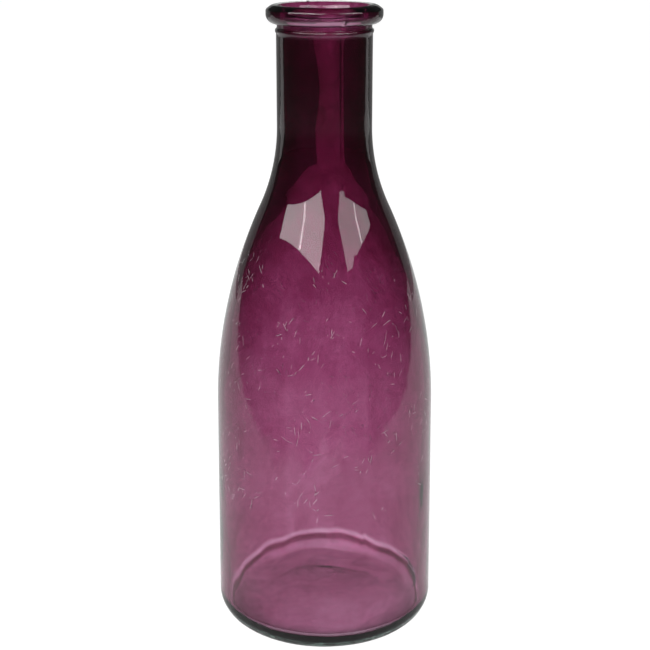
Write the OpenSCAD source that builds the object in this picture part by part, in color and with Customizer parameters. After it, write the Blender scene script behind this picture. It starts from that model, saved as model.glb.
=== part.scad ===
// Blown glass bottle with a long neck, a thick rolled lip and a lacquer film on its inside.
// Z runs up the bottle's axis and the origin is the centre of the ring it stands on.
// The glass is one piece. It is split at the level where one forming zone meets the next.

/* [Bottle] */
// Height from the standing ring to the crest of the lip
height = 260; // [245:1:290]
// Diameter just above the heel, where the wall is widest
heel_d = 92; // [88:0.5:96]
// Diameter where the straight wall meets the shoulder
shoulder_d = 90.4; // [86:0.2:92]
// Height where the straight wall meets the shoulder
shoulder_z = 96.6; // [85:0.2:105]
// Radius of the convex shoulder arc
shoulder_arc = 203; // [185:1:215]
// Height where the neck begins
neck_z = 213; // [208:0.5:218]
// Outside diameter of the neck
neck_d = 38; // [36:0.5:40]

/* [Finish] */
// Radius of the round section of the lip
lip_round = 3.6; // [3.2:0.1:3.8]
// Radius of the fuller edge around the lip, between its crest and its side
lip_edge = 1.2; // [0.8:0.1:2]
// Outside diameter of the ring under the lip
ring_d = 38.8; // [38.4:0.1:39.4]
// Radius of the round section of that ring
ring_round = 1.2; // [1:0.1:1.7]
// Distance from the underside of the lip to the middle of the ring
ring_drop = 2.8; // [2:0.1:4]
// Depth of the groove between the lip and the ring
groove = 0.3; // [0.1:0.1:0.6]

/* [Base] */
// Radius of the heel, outside
heel_round = 10; // [8:0.5:14]
// Radius of the corner between the wall and the floor, inside
corner_round = 4; // [3:0.5:8]
// Height of the inside floor above the table
floor_z = 6.5; // [5:0.5:8]
// Diameter of the hollow pushed up under the base
punt_d = 56; // [48:1:60]
// Height of that hollow at its centre
punt_h = 1.2; // [0.8:0.1:2.5]

/* [Wall] */
// Thickness of the glass
wall = 3.2; // [2.8:0.1:3.4]
// Thickness the lacquer film is drawn at
film = 0.2; // [0.2:0.05:0.3]

/* [Hidden] */
$fn = 144;
arc_fn = 1080;

neck_r = neck_d / 2;
bore_r = neck_r - wall;
groove_r = neck_r - groove;

// Levels where the zones meet
base_top = heel_round + 5;
lip_z = height - 2 * lip_round;
ring_mid = [ring_d / 2 - ring_round, lip_z - ring_drop];
ring_top_z = ring_mid.y + ring_round;
ring_foot_z = ring_mid.y - sqrt(ring_round^2 - (neck_r - ring_mid.x)^2);
film_top = height - film;

// Centres of the lip's round section and of its edge, and the direction in which
// one straight line touches them both
lip_mid = [bore_r + lip_round, height - lip_round];
edge_mid = lip_mid + [lip_round - lip_edge, lip_edge];
edge_slope = atan2(lip_edge, lip_round - lip_edge);
edge_reach = acos((lip_round - lip_edge) / norm(edge_mid - lip_mid));
edge_dir = [cos(edge_slope + edge_reach), sin(edge_slope + edge_reach)];

// The straight wall leans in by this angle from the heel to the shoulder
taper = atan((heel_d - shoulder_d) / 2 / (shoulder_z - heel_round));
wall_dir = [cos(taper), sin(taper)];

// The shoulder arc is tangent to the wall, and the root arc is tangent to it and to the neck
shoulder_c = [shoulder_d / 2, shoulder_z] - shoulder_arc * wall_dir;
span_r = neck_r - shoulder_c.x;
span_z = neck_z - shoulder_c.y;
root_arc = (span_r^2 + span_z^2 - shoulder_arc^2) / (2 * (shoulder_arc - span_r));
root_c = [neck_r + root_arc, neck_z];
turn_dir = (root_c - shoulder_c) / norm(root_c - shoulder_c);

// Radius of the sphere that shapes the hollow under the base
punt_arc = ((punt_d / 2)^2 + punt_h^2) / (2 * punt_h);

// Half section of a filled bottle whose surface lies `inset` inside the outside of the glass,
// with its floor at `bottom` and a corner of radius `corner` around that floor
module filled(inset, bottom, corner) {
    arc_r = shoulder_arc - inset;
    wall_top = shoulder_c + arc_r * wall_dir;
    turn = shoulder_c + arc_r * turn_dir;
    corner_z = bottom + corner;
    corner_x = wall_top.x + (wall_top.y - corner_z) * tan(taper) - corner / cos(taper);
    corner_c = [corner_x, corner_z];
    corner_end = corner_c + corner * wall_dir;

    polygon([[0, bottom], [corner_x, bottom], corner_end, wall_top, [0, wall_top.y]]);
    translate(corner_c) circle(corner);
    intersection() {
        translate(shoulder_c) circle(arc_r, $fn = arc_fn);
        translate([0, corner_z]) square([shoulder_d, turn.y - corner_z]);
    }
    difference() {
        translate([0, corner_z]) square([turn.x, neck_z - corner_z]);
        translate(root_c) circle(root_arc + inset, $fn = arc_fn);
    }
    translate([0, corner_z]) square([neck_r - inset, height - corner_z]);
}

// Half section of the space inside the glass
module cavity() {
    filled(wall, floor_z, corner_round);
}

// Half section of the glass from the heel to the top of the neck
module glass() {
    difference() {
        filled(0, 0, heel_round);
        cavity();
        translate([0, punt_h - punt_arc]) circle(punt_arc, $fn = arc_fn);
    }
}

// The stretch of a half section between two heights, turned about the axis
module turned(from, to) {
    rotate_extrude()
        intersection() {
            children();
            translate([0, from]) square([heel_d, to - from]);
        }
}

// Half section of a round bead centred at `mid`, on a stretch of neck as thin as the groove
module bead(mid, round_r, from, to) {
    difference() {
        union() {
            translate(mid) circle(round_r);
            translate([0, from]) square([groove_r, to - from]);
        }
        cavity();
    }
}

// Thick lip rolled over on itself, round in section but for its fuller edge
module lip_ring() {
    color("darkseagreen") turned(ring_top_z, height) {
        bead(lip_mid, lip_round, ring_top_z, lip_mid.y);
        translate(edge_mid) circle(lip_edge);
        polygon([
            lip_mid,
            lip_mid + [lip_round, 0],
            edge_mid + [lip_edge, 0],
            edge_mid + lip_edge * edge_dir,
            lip_mid + lip_round * edge_dir,
        ]);
    }
}

// Narrow raised ring under the lip
module neck_ring() {
    color("mediumseagreen") turned(ring_foot_z, ring_top_z)
        bead(ring_mid, ring_round, ring_foot_z, ring_top_z);
}

// Straight neck
module neck() {
    color("darkseagreen") turned(neck_z, ring_foot_z) glass();
}

// Long sloping shoulder, convex above the wall and concave below the neck
module shoulder() {
    color("mediumseagreen") turned(shoulder_z, neck_z) glass();
}

// Side wall, leaning in a little towards the shoulder
module body_wall() {
    color("darkseagreen") turned(base_top, shoulder_z) glass();
}

// Heel, floor and the ring the bottle stands on
module base() {
    color("seagreen") turned(0, base_top) glass();
}

// Half section of the space inside a lining of that depth, with the flare inside the lip
module lined(depth) {
    filled(wall + depth, floor_z + depth, corner_round - depth);
    difference() {
        translate([0, lip_mid.y]) square([lip_mid.x, lip_round]);
        translate(lip_mid) circle(lip_round + depth);
    }
}

// Lacquer film that lines the glass from the floor to just inside the crest of the lip
module tint_film() {
    color("purple") turned(0, film_top)
        difference() {
            lined(0);
            lined(film);
        }
}

lip_ring();
neck_ring();
neck();
shoulder();
body_wall();
base();
tint_film();
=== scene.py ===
"""A tall glass bottle, lined with purple lacquer, on a pale floor.

The glass is one closed mesh, turned from a half section and made uneven as moulded glass is. The lacquer
is a thin closed shell just inside the glass's inner surface. It grows thicker towards the neck and
colours light by its depth. Lengths are in metres, angles in degrees.
"""

import math
import random
from collections import namedtuple

import bpy
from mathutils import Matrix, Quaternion, Vector, noise


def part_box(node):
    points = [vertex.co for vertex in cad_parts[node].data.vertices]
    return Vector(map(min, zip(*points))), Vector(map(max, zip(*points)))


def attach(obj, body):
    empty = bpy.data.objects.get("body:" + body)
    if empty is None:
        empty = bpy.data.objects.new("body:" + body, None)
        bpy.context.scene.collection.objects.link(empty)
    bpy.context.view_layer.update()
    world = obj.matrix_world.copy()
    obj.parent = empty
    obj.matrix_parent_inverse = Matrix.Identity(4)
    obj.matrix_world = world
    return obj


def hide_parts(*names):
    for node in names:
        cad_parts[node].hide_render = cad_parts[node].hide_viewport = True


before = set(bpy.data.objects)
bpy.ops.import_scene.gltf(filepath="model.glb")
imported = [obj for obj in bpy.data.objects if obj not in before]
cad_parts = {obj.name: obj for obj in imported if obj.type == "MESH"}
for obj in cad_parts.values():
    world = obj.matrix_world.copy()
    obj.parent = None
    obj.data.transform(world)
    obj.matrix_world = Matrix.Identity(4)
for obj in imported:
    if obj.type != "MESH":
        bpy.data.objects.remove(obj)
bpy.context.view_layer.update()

MM = 0.001

# Shape that the CAD boxes don't hold, as in the CAD model
SHOULDER_ARC = 203 * MM
HEEL_ROUND = 10 * MM
CORNER_ROUND = 4 * MM
PUNT_R = 28 * MM
PUNT_H = 1.2 * MM
LIP_ROUND = 3.6 * MM
LIP_EDGE = 1.2 * MM
RING_ROUND = 1.2 * MM
GROOVE = 0.3 * MM

# Mesh: points round the bottle, and distances between points along its section
SEGMENTS = 360
STEP = 1.2 * MM
FINE_STEP = 0.35 * MM

# Waves: how far a surface or a share of a thickness strays, over what distance, how much of that change is
# left along the height, and the seed of the noise
Waves = namedtuple("Waves", "reach size upright seed")

# Moulded outside: waves, two seams, a notch where each crosses the lip, and stippling under the heel.
# A span holds the two heights that something starts and ends between.
MOULD_WAVES = Waves(0.05 * MM, 14 * MM, 0.4, 3)
SEAM_BEARING = 20
SEAM_RISE = 0.04 * MM
SEAM_SPREAD = 1.3
SEAM_FOOT = (5 * MM, 12 * MM)
NOTCH_DEPTH = 0.7 * MM
NOTCH_SPREAD = 1.8
NOTCH_FOOT = (252.8 * MM, 254 * MM)
NOTCH_TOP = (256.5 * MM, 258 * MM)
STIPPLE = Waves(0.10 * MM, 0.9 * MM, 1, 5)
STIPPLE_FOOT = (0, 1 * MM)
STIPPLE_TOP = (3 * MM, 7 * MM)

# Inner surface, which no mould touched: broad waves and short ones
INNER_WAVES = (Waves(0.25 * MM, 22 * MM, 0.35, 7), Waves(0.08 * MM, 7 * MM, 0.5, 11))

# Rise of the floor's edge, in mm, at angles from the back towards the right. Most of it is a ledge by the
# wall, and the rest a gentle slope.
FLOOR_RISE = [
    (-100, 0), (-60, 1.4), (-38, 4.2), (-15, 6.2), (8, 6.5),
    (34, 3.9), (55, 3.7), (72, 4.8), (88, 0),
]
FLOOR_WAVES = Waves(0.3 * MM, 6 * MM, 0, 17)
FLOOR_WAVES_SIDE = (80, 120)
SLOPE_SPAN = (8 * MM, 38 * MM)
LEDGE_SPAN = (37 * MM, 41.5 * MM)
LEDGE_SHARE = 0.9
RISE_TOP = (11 * MM, 34 * MM)

# Lacquer: its thickness on the body, its distance behind the glass's inner surface, how many times thicker
# it is at each height in mm, its streaks and blots, and how far round the lip's section it reaches
COAT = 0.09 * MM
COAT_GAP = 0.02 * MM
COAT_GROWTH = [
    (0, 1.0), (80, 1.0), (115, 1.1), (140, 1.28), (190, 1.98), (208, 2.25), (247, 2.2),
    (252, 1.1), (256, 1.0), (258, 2.4), (262, 2.6),
]
COAT_WAVES = (
    Waves(0.10, 5 * MM, 0.06, 23),
    Waves(0.14, 16 * MM, 1, 29),
    Waves(0.07, 5 * MM, 1, 31),
    Waves(0.16, 1.7 * MM, 1, 37),
)
COAT_END = 110

# Lacquer round the floor: it drained off the corner, most of all at the back, gathered in a line at the
# corner's foot and is thin on the front of the floor
CORNER_START = (36 * MM, 37.5 * MM)
BARE = 0.7
BARE_MORE_AT_BACK = 0.2
BARE_SIDE = (60, 110)
BARE_FOOT = (7.4 * MM, 7.9 * MM)
BARE_TOP = (8.6 * MM, 10.2 * MM)
POOL = 1.5
POOL_FOOT = (6.6 * MM, 6.8 * MM)
POOL_TOP = (7.2 * MM, 7.5 * MM)
THIN = 0.47
THIN_SPAN = (-29 * MM, 7 * MM)
THIN_SKEW = 0.45

# Colours of the depth of glass and of lacquer, and how strongly a metre of each colours light
GLASS_IOR = 1.5
GLASS_COLOUR = (0.55, 0.72, 0.66)
GLASS_DENSITY = 30
COAT_COLOUR = (0.572, 0.05, 0.362)
COAT_DENSITY = 15300

# Bubbles in the wall: number, seed of the draws, depth, levels, radius and how much longer than wide
BUBBLES = 40
BUBBLE_DRAW = 4
BUBBLE_DEPTH = 1.4 * MM
BUBBLE_LEVELS = (25 * MM, 190 * MM)
BUBBLE_RADIUS = (0.12, 0.32)
BUBBLE_STRETCH = (1.1, 2.2)
BUBBLE_ROWS = 6
BUBBLE_COLUMNS = 10

# Scratches on the body: number, seed of the draws, levels, patches, lengths and widths in mm, the stretch of
# the length that is widest, mean lean and its spread, and how much glass closes them over
SCRATCHES = 700
SCRATCH_DRAW = 9
SCRATCH_LEVELS = (60 * MM, 165 * MM)
SCRATCH_PATCHES = Waves(1, 15 * MM, 1, 41)
SCRATCH_ODDS = (-0.2, 0.5)
SCRATCH_LENGTH = (0.5, 4.5)
SCRATCH_WIDTH = (0.07, 0.17)
SCRATCH_MIDDLE = (-0.25, 0.25)
SCRATCH_LEAN = (70, 45)
SCRATCH_COVER = 0.08 * MM
SCRATCH_SIDES = 3
SCRATCH_FACES = 3 * SCRATCH_SIDES
SCRATCH_COLOUR = (0.9, 0.9, 0.9, 1)
SCRATCH_ROUGHNESS = 0.9

# Studio lights: name, azimuth, elevation, distance, width, height, radiance and roll. They aim at the axis, at
# the height given under them.
LIGHTS = [
    ("softbox_left", -42, 45, 1.2, 1.56, 0.85, 5.5, 0),
    ("softbox_right", 57, 43, 1.2, 1.14, 0.85, 3.5, 3),
    ("tube_left", -38.5, 45, 1.15, 0.05, 0.8, 8, 0),
    ("tube_right", 60, 43, 1.15, 0.05, 0.8, 6, 0),
]
LIGHT_AIM = 0.17

# Grey cards far behind the neck: name, inner edge and side, then their size, distance and brightness
FLAGS = [("flag_left", -0.041, -1), ("flag_right", 0.09, 1)]
FLAG_WIDTH = 1.2
FLAG_HEIGHT = 0.5
FLAG_DISTANCE = 1.0
FLAG_GLOW = 0.25

# Paper floor, as the glass sees it, with light and shade painted into its glow: painted shade beside the
# bottle, a painted dark front with an uneven wedge-shaped edge, in reflections only, and a painted shadow in a
# ring under the front of the heel. Places are distances from the bottle's axis.
FLOOR_RADIUS = 6
FLOOR_SIDES = 96
# Painted shade beside the bottle: where the floor's glow fades and its levels at either end
SIDE_SHADE_SPAN = (0.03, 0.18)
SIDE_SHADE_GLOW = (1.0, 0.6)
# Painted dark front, seen only in reflections: where its edge lies ahead, the glow on either side, how the
# edge slants and how uneven it is
REFLECTION_DARK_EDGE = (-0.23, -0.18)
REFLECTION_DARK_GLOW = (0.04, 0.7)
REFLECTION_DARK_SLANT = 0.65
REFLECTION_EDGE_WOBBLE = 0.2
REFLECTION_EDGE_WOBBLE_SCALE = 9
# Painted shadow in a ring under the front of the heel: its darkness at distances from the axis, and where it
# fades out towards the back
HEEL_SHADOW_RING = [(0, 0), (0.028, 0), (0.036, 0.6), (0.048, 0.6), (0.085, 0)]
HEEL_SHADOW_FRONT = (-0.02, 0.02)

# Surroundings, as the glass sees them, between two heights or depths of a direction: a pale horizon, and a
# white wall behind the bottle
HORIZON = (0.02, 0.2)
HORIZON_GLOW = (0.8, 0.05)
WALL_BEHIND = (0.75, 0.9)
WALL_TOP = (0.4, 0.6)
WALL_GLOW = 0.7
DARK_GLOW = 0.05

CAMERA_PLACE = (0.0002, -0.5427, 0.3008)
CAMERA_DIP = 17.55
CAMERA_LENS = 75.47

BOUNCES = 32


# ---------------------------------------------------------------- half section


def arc(centre, radius, start, end, step):
    """Points on an arc from one angle to another, without the first."""
    count = max(2, math.ceil(abs(math.radians(end - start)) * radius / step))
    angles = [math.radians(start + (end - start) * i / count) for i in range(1, count + 1)]
    return [(centre[0] + radius * math.cos(a), centre[1] + radius * math.sin(a)) for a in angles]


def line(start, end, step):
    """Points on a straight line, without the first."""
    count = max(1, math.ceil(math.dist(start, end) / step))
    return [
        (start[0] + (end[0] - start[0]) * i / count, start[1] + (end[1] - start[1]) * i / count)
        for i in range(1, count + 1)
    ]


class Section:
    """The bottle's half section as (radius, height) points, from the sizes of the CAD nodes."""

    def __init__(self):
        neck_low, neck_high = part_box("neck")
        ring_low, ring_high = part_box("neck_ring")
        lip_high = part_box("lip_ring")[1]
        self.neck_r = neck_high.x
        self.neck_z = neck_low.z
        self.floor_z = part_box("tint_film")[0].z
        self.lip_c = (lip_high.x - LIP_ROUND, lip_high.z - LIP_ROUND)
        self.inset = self.neck_r - (self.lip_c[0] - LIP_ROUND)
        self.ring_c = (ring_high.x - RING_ROUND, ring_high.z - RING_ROUND)
        self.ring_foot = ring_low.z
        shoulder_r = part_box("shoulder")[1].x
        shoulder_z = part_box("shoulder")[0].z
        heel_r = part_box("base")[1].x
        self.taper = math.degrees(math.atan((heel_r - shoulder_r) / (shoulder_z - HEEL_ROUND)))
        across, up = math.cos(math.radians(self.taper)), math.sin(math.radians(self.taper))
        self.shoulder_c = (shoulder_r - SHOULDER_ARC * across, shoulder_z - SHOULDER_ARC * up)
        span_r = self.neck_r - self.shoulder_c[0]
        span_z = self.neck_z - self.shoulder_c[1]
        self.root_arc = (span_r**2 + span_z**2 - SHOULDER_ARC**2) / (2 * (SHOULDER_ARC - span_r))
        self.root_c = (self.neck_r + self.root_arc, self.neck_z)
        self.turn = math.degrees(math.atan2(span_z, span_r + self.root_arc))

    def side(self, inset, bottom, radius, top):
        """From the axis across the bottom, round the corner and up the wall, shoulder and neck."""
        slope = math.radians(self.taper)
        reach = SHOULDER_ARC - inset
        foot = (
            self.shoulder_c[0] + reach * math.cos(slope),
            self.shoulder_c[1] + reach * math.sin(slope),
        )
        corner_z = bottom + radius
        corner_r = foot[0] + (foot[1] - corner_z) * math.tan(slope) - radius / math.cos(slope)
        points = [(0.0, bottom)]
        points += line(points[0], (corner_r, bottom), STEP)
        points += arc((corner_r, corner_z), radius, -90, self.taper, FINE_STEP)
        points += line(points[-1], foot, STEP)
        points += arc(self.shoulder_c, reach, self.taper, self.turn, STEP)
        points += arc(self.root_c, self.root_arc + inset, self.turn + 180, 180, STEP)
        points += line(points[-1], (self.neck_r - inset, top), STEP)
        return points

    def outside(self):
        """From the middle of the hollow base, round the heel and up to the crest of the lip."""
        punt_arc = (PUNT_R**2 + PUNT_H**2) / (2 * PUNT_H)
        rim = math.degrees(math.atan2(punt_arc - PUNT_H, PUNT_R))
        points = [(0.0, PUNT_H)]
        points += arc((0, PUNT_H - punt_arc), punt_arc, 90, rim, STEP)
        points += [p for p in self.side(0, 0, HEEL_ROUND, self.ring_foot) if p[0] > PUNT_R or p[1] > 0]
        groove_r = self.neck_r - GROOVE
        low = math.degrees(math.asin((self.ring_foot - self.ring_c[1]) / RING_ROUND))
        high = math.degrees(math.acos((groove_r - self.ring_c[0]) / RING_ROUND))
        points += arc(self.ring_c, RING_ROUND, low, high, FINE_STEP)
        under = math.acos((groove_r - self.lip_c[0]) / LIP_ROUND)
        points += line(points[-1], (groove_r, self.lip_c[1] - LIP_ROUND * math.sin(under)), FINE_STEP)
        points += arc(self.lip_c, LIP_ROUND, -math.degrees(under), 0, FINE_STEP)
        edge_c = (self.lip_c[0] + LIP_ROUND - LIP_EDGE, self.lip_c[1] + LIP_EDGE)
        offset = (edge_c[0] - self.lip_c[0], edge_c[1] - self.lip_c[1])
        touch = math.degrees(
            math.atan2(offset[1], offset[0]) + math.acos((LIP_ROUND - LIP_EDGE) / math.hypot(*offset))
        )
        points += arc(edge_c, LIP_EDGE, 0, touch, FINE_STEP)
        points += arc(self.lip_c, LIP_ROUND, touch, 90, FINE_STEP)
        return points

    def inside(self, crest):
        """From the axis over the floor, up the bore and over the lip's flare as far as that angle."""
        points = self.side(self.inset, self.floor_z, CORNER_ROUND, self.lip_c[1])
        return points + arc(self.lip_c, LIP_ROUND, 180, crest, FINE_STEP)


# ---------------------------------------------------------------- unevenness of the glass and lacquer


def stray(waves, x, y, z):
    """Smooth noise between about minus and plus the waves' reach."""
    place = Vector((x, y, z * waves.upright)) / waves.size
    return waves.reach * noise.noise(place + waves.seed * Vector((1, 2, 3)))


def rise(span, value):
    """0 below the span, 1 above it and a smooth step between."""
    t = min(max((value - span[0]) / (span[1] - span[0]), 0), 1)
    return t * t * (3 - 2 * t)


def fall(span, value):
    """1 below the span, 0 above it and a smooth step between."""
    return 1 - rise(span, value)


def graded(stops, place):
    """Value at a place between (place, value) stops, and 0 outside them."""
    for (low, first), (high, last) in zip(stops, stops[1:]):
        if low <= place < high:
            return first + (last - first) * (place - low) / (high - low)
    return 0


def bearing(x, y):
    """Angle round the bottle. 0 is the front, towards the camera, and 90 is its right."""
    return math.degrees(math.atan2(x, -y))


def from_back(x, y):
    """Angle round the bottle. 0 is the back, away from the camera, and 90 is its right."""
    return math.degrees(math.atan2(x, y))


def outer_ripple(x, y, z):
    """How far the outside stands out: the mould's waves, seams and notches, and the stippled heel."""
    around = (bearing(x, y) - SEAM_BEARING) % 180
    off_seam = min(around, 180 - around)
    seam = SEAM_RISE * math.exp(-((off_seam / SEAM_SPREAD) ** 2)) * rise(SEAM_FOOT, z)
    notch = NOTCH_DEPTH * math.exp(-((off_seam / NOTCH_SPREAD) ** 2))
    notch *= rise(NOTCH_FOOT, z) * fall(NOTCH_TOP, z)
    stipple = stray(STIPPLE, x, y, z) * rise(STIPPLE_FOOT, z) * fall(STIPPLE_TOP, z)
    return stray(MOULD_WAVES, x, y, z) + seam - notch + stipple


def inner_ripple(x, y, z):
    """How far the inner surface wanders outwards."""
    return sum(stray(waves, x, y, z) for waves in INNER_WAVES)


def heave(x, y, z):
    """How much the inner surface is lifted. The glass ran up the back of the mould round the floor."""
    off_back = from_back(x, y)
    lift = graded(FLOOR_RISE, off_back) * MM
    lift += stray(FLOOR_WAVES, x, y, z) * fall(FLOOR_WAVES_SIDE, abs(off_back))
    reach = math.hypot(x, y)
    edge = (1 - LEDGE_SHARE) * rise(SLOPE_SPAN, reach) + LEDGE_SHARE * rise(LEDGE_SPAN, reach)
    return lift * edge * fall(RISE_TOP, z)


def coat_depth(x, y, z):
    """Thickness of the lacquer, which ran down in faint streaks and drained round the floor."""
    uneven = 1 + sum(stray(waves, x, y, z) for waves in COAT_WAVES)
    corner = rise(CORNER_START, math.hypot(x, y))
    pool = POOL * corner * rise(POOL_FOOT, z) * fall(POOL_TOP, z)
    bare = BARE + BARE_MORE_AT_BACK * fall(BARE_SIDE, abs(from_back(x, y)))
    bare *= corner * rise(BARE_FOOT, z) * fall(BARE_TOP, z)
    thin = THIN * fall(THIN_SPAN, y - THIN_SKEW * x) * fall(POOL_FOOT, z)
    return COAT * graded(COAT_GROWTH, z / MM) * (uneven + pool) * (1 - bare) * (1 - thin)


# ---------------------------------------------------------------- mesh


def normals(points):
    """Unit normals of a curve, to the right of its direction."""
    found = []
    for i in range(len(points)):
        start, end = points[max(i - 1, 0)], points[min(i + 1, len(points) - 1)]
        size = math.dist(start, end)
        found.append(((end[1] - start[1]) / size, (start[0] - end[0]) / size))
    return found


def surface(points, depth, lift=None):
    """Rings of vertices for a curve turned about the axis, moved out along its normals by depth."""
    rings = []
    for (radius, height), (out, up) in zip(points, normals(points)):
        if radius == 0:
            rings.append([(0.0, 0.0, height + up * depth(0, 0, height))])
            continue
        ring = []
        for i in range(SEGMENTS):
            angle = 2 * math.pi * i / SEGMENTS
            across, along = math.cos(angle), math.sin(angle)
            x, y = radius * across, radius * along
            move = depth(x, y, height)
            reach = radius + out * move
            level = height + up * move + (lift(x, y, height) if lift else 0)
            ring.append((reach * across, reach * along, level))
        rings.append(ring)
    return rings


def turned(name, rings, hollows=()):
    """A closed mesh through the rings, which start and end on the axis, with the hollows' meshes added."""
    verts, faces, first = [], [], []
    for ring in rings:
        first.append(len(verts))
        verts += ring
    for row in range(len(rings) - 1):
        low, high = first[row], first[row + 1]
        for i in range(SEGMENTS):
            j = (i + 1) % SEGMENTS
            if len(rings[row]) == 1:
                faces.append((low, high + j, high + i))
            elif len(rings[row + 1]) == 1:
                faces.append((low + i, low + j, high))
            else:
                faces.append((low + i, low + j, high + j, high + i))
    for hollow_verts, hollow_faces in hollows:
        start = len(verts)
        verts += hollow_verts
        faces += [tuple(start + v for v in face) for face in hollow_faces]
    mesh = bpy.data.meshes.new(name)
    mesh.from_pydata(verts, [], faces)
    mesh.validate()
    mesh.polygons.foreach_set("use_smooth", [True] * len(mesh.polygons))
    piece = bpy.data.objects.new(name, mesh)
    bpy.context.scene.collection.objects.link(piece)
    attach(piece, "root")
    return piece


def bubble(centre, radius, length):
    """A small upright bubble. Its faces turn inwards, so that it is a hollow in the glass."""
    verts = [centre + Vector((0, 0, -length))]
    for row in range(1, BUBBLE_ROWS):
        tilt = math.pi * row / BUBBLE_ROWS
        ring = radius * math.sin(tilt)
        level = -length * math.cos(tilt)
        for column in range(BUBBLE_COLUMNS):
            turn = 2 * math.pi * column / BUBBLE_COLUMNS
            verts.append(centre + Vector((ring * math.cos(turn), ring * math.sin(turn), level)))
    verts.append(centre + Vector((0, 0, length)))
    faces = []
    for i in range(BUBBLE_COLUMNS):
        j = (i + 1) % BUBBLE_COLUMNS
        faces.append((0, 1 + i, 1 + j))
        for row in range(BUBBLE_ROWS - 2):
            low, high = 1 + row * BUBBLE_COLUMNS, 1 + (row + 1) * BUBBLE_COLUMNS
            faces.append((low + i, high + i, high + j, low + j))
        last = 1 + (BUBBLE_ROWS - 2) * BUBBLE_COLUMNS
        faces.append((last + i, len(verts) - 1, last + j))
    return [tuple(v) for v in verts], faces


def make_bubbles(points):
    """Bubbles scattered in the wall behind a curve."""
    draw = random.Random(BUBBLE_DRAW)
    wall = [p for p in points if BUBBLE_LEVELS[0] < p[1] < BUBBLE_LEVELS[1]]
    found = []
    for _ in range(BUBBLES):
        radius, height = draw.choice(wall)
        angle = draw.uniform(0, 2 * math.pi)
        reach = radius - BUBBLE_DEPTH
        size = draw.uniform(*BUBBLE_RADIUS) * MM
        centre = Vector((reach * math.cos(angle), reach * math.sin(angle), height))
        found.append(bubble(centre, size, size * draw.uniform(*BUBBLE_STRETCH)))
    return found


def scratch(centre, along, out, length, width):
    """A fine hollow along the surface, widest at its middle and pointed at its ends."""
    across = along.cross(out)
    verts = [centre - along * length / 2]
    for place in SCRATCH_MIDDLE:
        for side in range(SCRATCH_SIDES):
            turn = 2 * math.pi * side / SCRATCH_SIDES
            ring = across * math.cos(turn) + out * math.sin(turn)
            verts.append(centre + along * length * place + ring * width / 2)
    verts.append(centre + along * length / 2)
    faces = []
    for i in range(SCRATCH_SIDES):
        j = (i + 1) % SCRATCH_SIDES
        low, high = 1 + i, 1 + SCRATCH_SIDES + i
        next_low, next_high = 1 + j, 1 + SCRATCH_SIDES + j
        faces.append((0, next_low, low))
        faces.append((low, next_low, next_high, high))
        faces.append((high, next_high, 1 + 2 * SCRATCH_SIDES))
    return [tuple(v) for v in verts], faces


def make_scratches(points):
    """Scratches from handling, gathered in patches round the body and just under its surface."""
    draw = random.Random(SCRATCH_DRAW)
    body = [
        (point, normal)
        for point, normal in zip(points, normals(points))
        if SCRATCH_LEVELS[0] < point[1] < SCRATCH_LEVELS[1]
    ]
    found = []
    while len(found) < SCRATCHES:
        (radius, height), (out, up) = draw.choice(body)
        angle = draw.uniform(-math.pi, math.pi)
        x, y = math.cos(angle), math.sin(angle)
        wear = stray(SCRATCH_PATCHES, radius * x, radius * y, height)
        if wear < draw.uniform(*SCRATCH_ODDS):
            continue
        normal = Vector((x * out, y * out, up))
        level = Vector((-y, x, 0))
        lean = math.radians(draw.gauss(*SCRATCH_LEAN))
        along = level * math.cos(lean) + normal.cross(level) * math.sin(lean)
        length = draw.uniform(*SCRATCH_LENGTH) * MM
        width = draw.uniform(*SCRATCH_WIDTH) * MM
        sagitta = length**2 / (8 * radius)
        dip = sagitta + width + SCRATCH_COVER
        centre = Vector((radius * x, radius * y, height)) - normal * dip
        found.append(scratch(centre, along, normal, length, width))
    return found


# ---------------------------------------------------------------- materials


def new_material(name):
    """A material with its node tree and its Principled node."""
    material = bpy.data.materials.new(name)
    material.use_nodes = True
    return material, material.node_tree, material.node_tree.nodes["Principled BSDF"]


def node(tree, kind, inputs=(), **settings):
    """A node with its settings, and with values or links for its inputs."""
    made = tree.nodes.new(kind)
    for key, value in settings.items():
        setattr(made, key, value)
    for key, value in dict(inputs).items():
        if isinstance(value, bpy.types.NodeSocket):
            tree.links.new(value, made.inputs[key])
        else:
            made.inputs[key].default_value = value
    return made


def clear_material(name, ior, colour, density):
    """A smooth clear material that colours light by its depth."""
    material, tree, shader = new_material(name)
    shader.inputs["Base Color"].default_value = (1, 1, 1, 1)
    shader.inputs["Roughness"].default_value = 0
    shader.inputs["IOR"].default_value = ior
    shader.inputs["Transmission Weight"].default_value = 1
    depth = node(tree, "ShaderNodeVolumeAbsorption", {"Color": (*colour, 1), "Density": density})
    tree.links.new(depth.outputs["Volume"], tree.nodes["Material Output"].inputs["Volume"])
    return material


def glass_material():
    """Clear glass, a little grey-green in its depth."""
    return clear_material("clear_glass", GLASS_IOR, GLASS_COLOUR, GLASS_DENSITY)


def lacquer_material():
    """Purple lacquer. It lies within the glass and bends light no further, so only its depth shows."""
    return clear_material("purple_lacquer", 1.0, COAT_COLOUR, COAT_DENSITY)


def scratch_material():
    """The crushed glass in a scratch, which scatters light."""
    material, _, shader = new_material("crushed_glass")
    shader.inputs["Base Color"].default_value = SCRATCH_COLOUR
    shader.inputs["Roughness"].default_value = SCRATCH_ROUGHNESS
    return material


# ---------------------------------------------------------------- pieces


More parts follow.
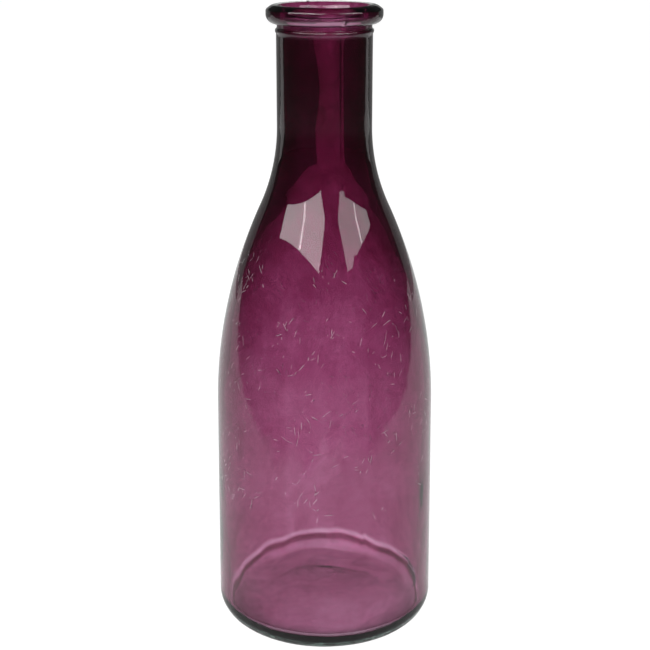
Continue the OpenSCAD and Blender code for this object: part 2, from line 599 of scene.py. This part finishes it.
def make_glass(section):
    """The whole bottle, with bubbles and scratches as hollows in its wall."""
    outside = section.outside()
    rings = surface(outside, outer_ripple)
    rings += surface(section.inside(90), inner_ripple, heave)[-2::-1]
    glass = turned("bottle_glass", rings, make_bubbles(outside) + make_scratches(outside))
    glass.data.materials.append(glass_material())
    glass.data.materials.append(scratch_material())
    for face in glass.data.polygons[-SCRATCHES * SCRATCH_FACES:]:
        face.material_index = 1
    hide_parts("lip_ring", "neck_ring", "neck", "shoulder", "body_wall", "base")


def make_lacquer(section):
    """The shell between the glass's inner surface and the depth of the lacquer, a hair inside the glass."""
    curve = section.inside(COAT_END)

    def near(x, y, z):
        return inner_ripple(x, y, z) + COAT_GAP

    def far(x, y, z):
        return near(x, y, z) + coat_depth(x, y, z)

    rings = surface(curve, far, heave) + surface(curve, near, heave)[::-1]
    lacquer = turned("tint_lacquer", rings)
    lacquer.data.materials.append(lacquer_material())
    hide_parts("tint_film")


# ---------------------------------------------------------------- floor, light and camera


def blend(tree, factor, low, high):
    """low where the factor is 0, high where it is 1. Each is a number or a socket."""
    return node(tree, "ShaderNodeMix", {"Factor": factor, "A": low, "B": high}).outputs["Result"]


def maths(tree, operation, *values):
    """The result of a sum on numbers or sockets."""
    return node(tree, "ShaderNodeMath", dict(enumerate(values)), operation=operation).outputs[0]


def ramp(tree, value, span, levels):
    """The first level at the span's start, the second at its end, and even between."""
    inputs = dict(zip(("From Min", "From Max", "To Min", "To Max"), (*span, *levels)))
    return node(tree, "ShaderNodeMapRange", {"Value": value, **inputs}).outputs[0]


def shade(stops, levels):
    """Set a colour ramp's stops to grey levels at their places."""
    while len(stops) < len(levels):
        stops.new(1)
    for stop, (place, level) in zip(stops, levels):
        stop.position = place
        stop.color = (level, level, level, 1)


def painted_side_shade(tree, across):
    """Painted shade: the floor's glow as the glass refracts it, painted dimmer beside the bottle."""
    return ramp(tree, across, SIDE_SHADE_SPAN, SIDE_SHADE_GLOW)


def painted_reflected_floor(tree, place, across, ahead):
    """Painted reflection: the floor's glow as the glass reflects it, painted dark in front of the bottle
    beyond an uneven wedge-shaped edge.
    """
    wobble = node(tree, "ShaderNodeTexNoise", {"Vector": place, "Scale": REFLECTION_EDGE_WOBBLE_SCALE})
    edge = maths(tree, "MULTIPLY_ADD", wobble.outputs["Fac"], REFLECTION_EDGE_WOBBLE, ahead)
    edge = maths(tree, "MULTIPLY_ADD", across, -REFLECTION_DARK_SLANT, edge)
    return ramp(tree, edge, REFLECTION_DARK_EDGE, REFLECTION_DARK_GLOW)


def painted_heel_shadow(tree, place, ahead):
    """Painted shadow: how much the floor's glow is darkened in a ring under the front of the heel."""
    reach = node(tree, "ShaderNodeVectorMath", {0: place}, operation="LENGTH")
    ring = node(tree, "ShaderNodeValToRGB", {"Fac": reach.outputs["Value"]})
    shade(ring.color_ramp.elements, HEEL_SHADOW_RING)
    front = ramp(tree, ahead, HEEL_SHADOW_FRONT, (1, 0))
    return maths(tree, "MULTIPLY", ring.outputs["Color"], front)


def make_floor():
    """White paper, lit from below, that the camera sees burnt out to white. Rays from the glass see light and
    shade painted into its glow: shade beside the bottle, a dark front in reflections and a shadow under the
    front of the heel.
    """
    material, tree, shader = new_material("pale_floor")
    shader.inputs["Base Color"].default_value = (0.1, 0.1, 0.1, 1)
    shader.inputs["Roughness"].default_value = 0.8
    shader.inputs["Emission Color"].default_value = (1, 1, 1, 1)
    place = node(tree, "ShaderNodeTexCoord").outputs["Object"]
    split = node(tree, "ShaderNodeSeparateXYZ", {"Vector": place})
    across = maths(tree, "ABSOLUTE", split.outputs["X"])
    ahead = split.outputs["Y"]
    path = node(tree, "ShaderNodeLightPath")
    # Light and shade painted into the floor's glow, for rays from the glass only
    refracted = painted_side_shade(tree, across)
    reflected = painted_reflected_floor(tree, place, across, ahead)
    glow = blend(tree, path.outputs["Is Reflection Ray"], refracted, reflected)
    lit = maths(tree, "SUBTRACT", 1.0, painted_heel_shadow(tree, place, ahead))
    glow = maths(tree, "MULTIPLY", glow, lit)
    glow = blend(tree, path.outputs["Is Camera Ray"], glow, 1.0)
    tree.links.new(glow, shader.inputs["Emission Strength"])
    bpy.ops.mesh.primitive_circle_add(vertices=FLOOR_SIDES, radius=FLOOR_RADIUS, fill_type="NGON")
    floor = bpy.context.object
    floor.name = "floor"
    floor.data.materials.append(material)


def make_flag(name, inner_edge, side):
    """A grey card far behind the bottle that only the glass sees. It darkens one side of the neck."""
    material, _, shader = new_material(name)
    shader.inputs["Base Color"].default_value = (0, 0, 0, 1)
    shader.inputs["Emission Color"].default_value = (1, 1, 1, 1)
    shader.inputs["Emission Strength"].default_value = FLAG_GLOW
    bpy.ops.mesh.primitive_plane_add(size=1)
    flag = bpy.context.object
    flag.name = name
    flag.scale = (FLAG_WIDTH, FLAG_HEIGHT, 1)
    flag.rotation_euler = (math.pi / 2, 0, 0)
    flag.location = (inner_edge + side * FLAG_WIDTH / 2, FLAG_DISTANCE, FLAG_HEIGHT / 2)
    flag.visible_camera = False
    flag.data.materials.append(material)


def make_world():
    """White behind the bottle and low down all round, and dark elsewhere. The camera sees only white."""
    world = bpy.data.worlds.new("studio")
    world.use_nodes = True
    tree = world.node_tree
    place = node(tree, "ShaderNodeTexCoord")
    split = node(tree, "ShaderNodeSeparateXYZ", {"Vector": place.outputs["Generated"]})
    horizon = ramp(tree, split.outputs["Z"], HORIZON, HORIZON_GLOW)
    behind = ramp(tree, split.outputs["Y"], WALL_BEHIND, (0, 1))
    below_top = ramp(tree, split.outputs["Z"], WALL_TOP, (WALL_GLOW, 0))
    wall = maths(tree, "MULTIPLY", behind, below_top)
    refracted = maths(tree, "MAXIMUM", horizon, wall)
    path = node(tree, "ShaderNodeLightPath")
    glow = blend(tree, path.outputs["Is Reflection Ray"], refracted, DARK_GLOW)
    glow = blend(tree, path.outputs["Is Camera Ray"], glow, 1.0)
    tree.nodes["Background"].inputs["Color"].default_value = (1, 1, 1, 1)
    tree.links.new(glow, tree.nodes["Background"].inputs["Strength"])
    bpy.context.scene.world = world


def direction(azimuth, elevation):
    """Unit vector from the bottle. Azimuth 0 is towards the camera and 90 to its right."""
    a, e = math.radians(azimuth), math.radians(elevation)
    return Vector((math.sin(a) * math.cos(e), -math.cos(a) * math.cos(e), math.sin(e)))


def make_light(name, azimuth, elevation, distance, width, height, radiance, roll):
    """A rectangular light aimed at the shoulder."""
    data = bpy.data.lights.new(name, "AREA")
    data.shape = "RECTANGLE"
    data.size, data.size_y = width, height
    data.energy = radiance * math.pi * width * height
    light = bpy.data.objects.new(name, data)
    out = direction(azimuth, elevation)
    light.location = Vector((0, 0, LIGHT_AIM)) + out * distance
    light.rotation_mode = "QUATERNION"
    light.rotation_quaternion = Quaternion(out, math.radians(roll)) @ out.to_track_quat("Z", "Y")
    light.visible_camera = False
    bpy.context.scene.collection.objects.link(light)


def make_camera():
    """A camera in front of the bottle and a little above it, that looks down at its middle."""
    data = bpy.data.cameras.new("camera")
    data.lens = CAMERA_LENS
    data.sensor_width = 36
    data.clip_start = 0.01
    camera = bpy.data.objects.new("camera", data)
    camera.location = CAMERA_PLACE
    camera.rotation_euler = (math.radians(90 - CAMERA_DIP), 0, 0)
    bpy.context.scene.collection.objects.link(camera)
    bpy.context.scene.camera = camera


section = Section()
make_glass(section)
make_lacquer(section)

make_floor()
for flag in FLAGS:
    make_flag(*flag)
make_world()
for light in LIGHTS:
    make_light(*light)
make_camera()

scene = bpy.context.scene
scene.view_settings.view_transform = "Standard"
scene.cycles.max_bounces = BOUNCES
scene.cycles.transmission_bounces = BOUNCES
scene.cycles.transparent_max_bounces = BOUNCES
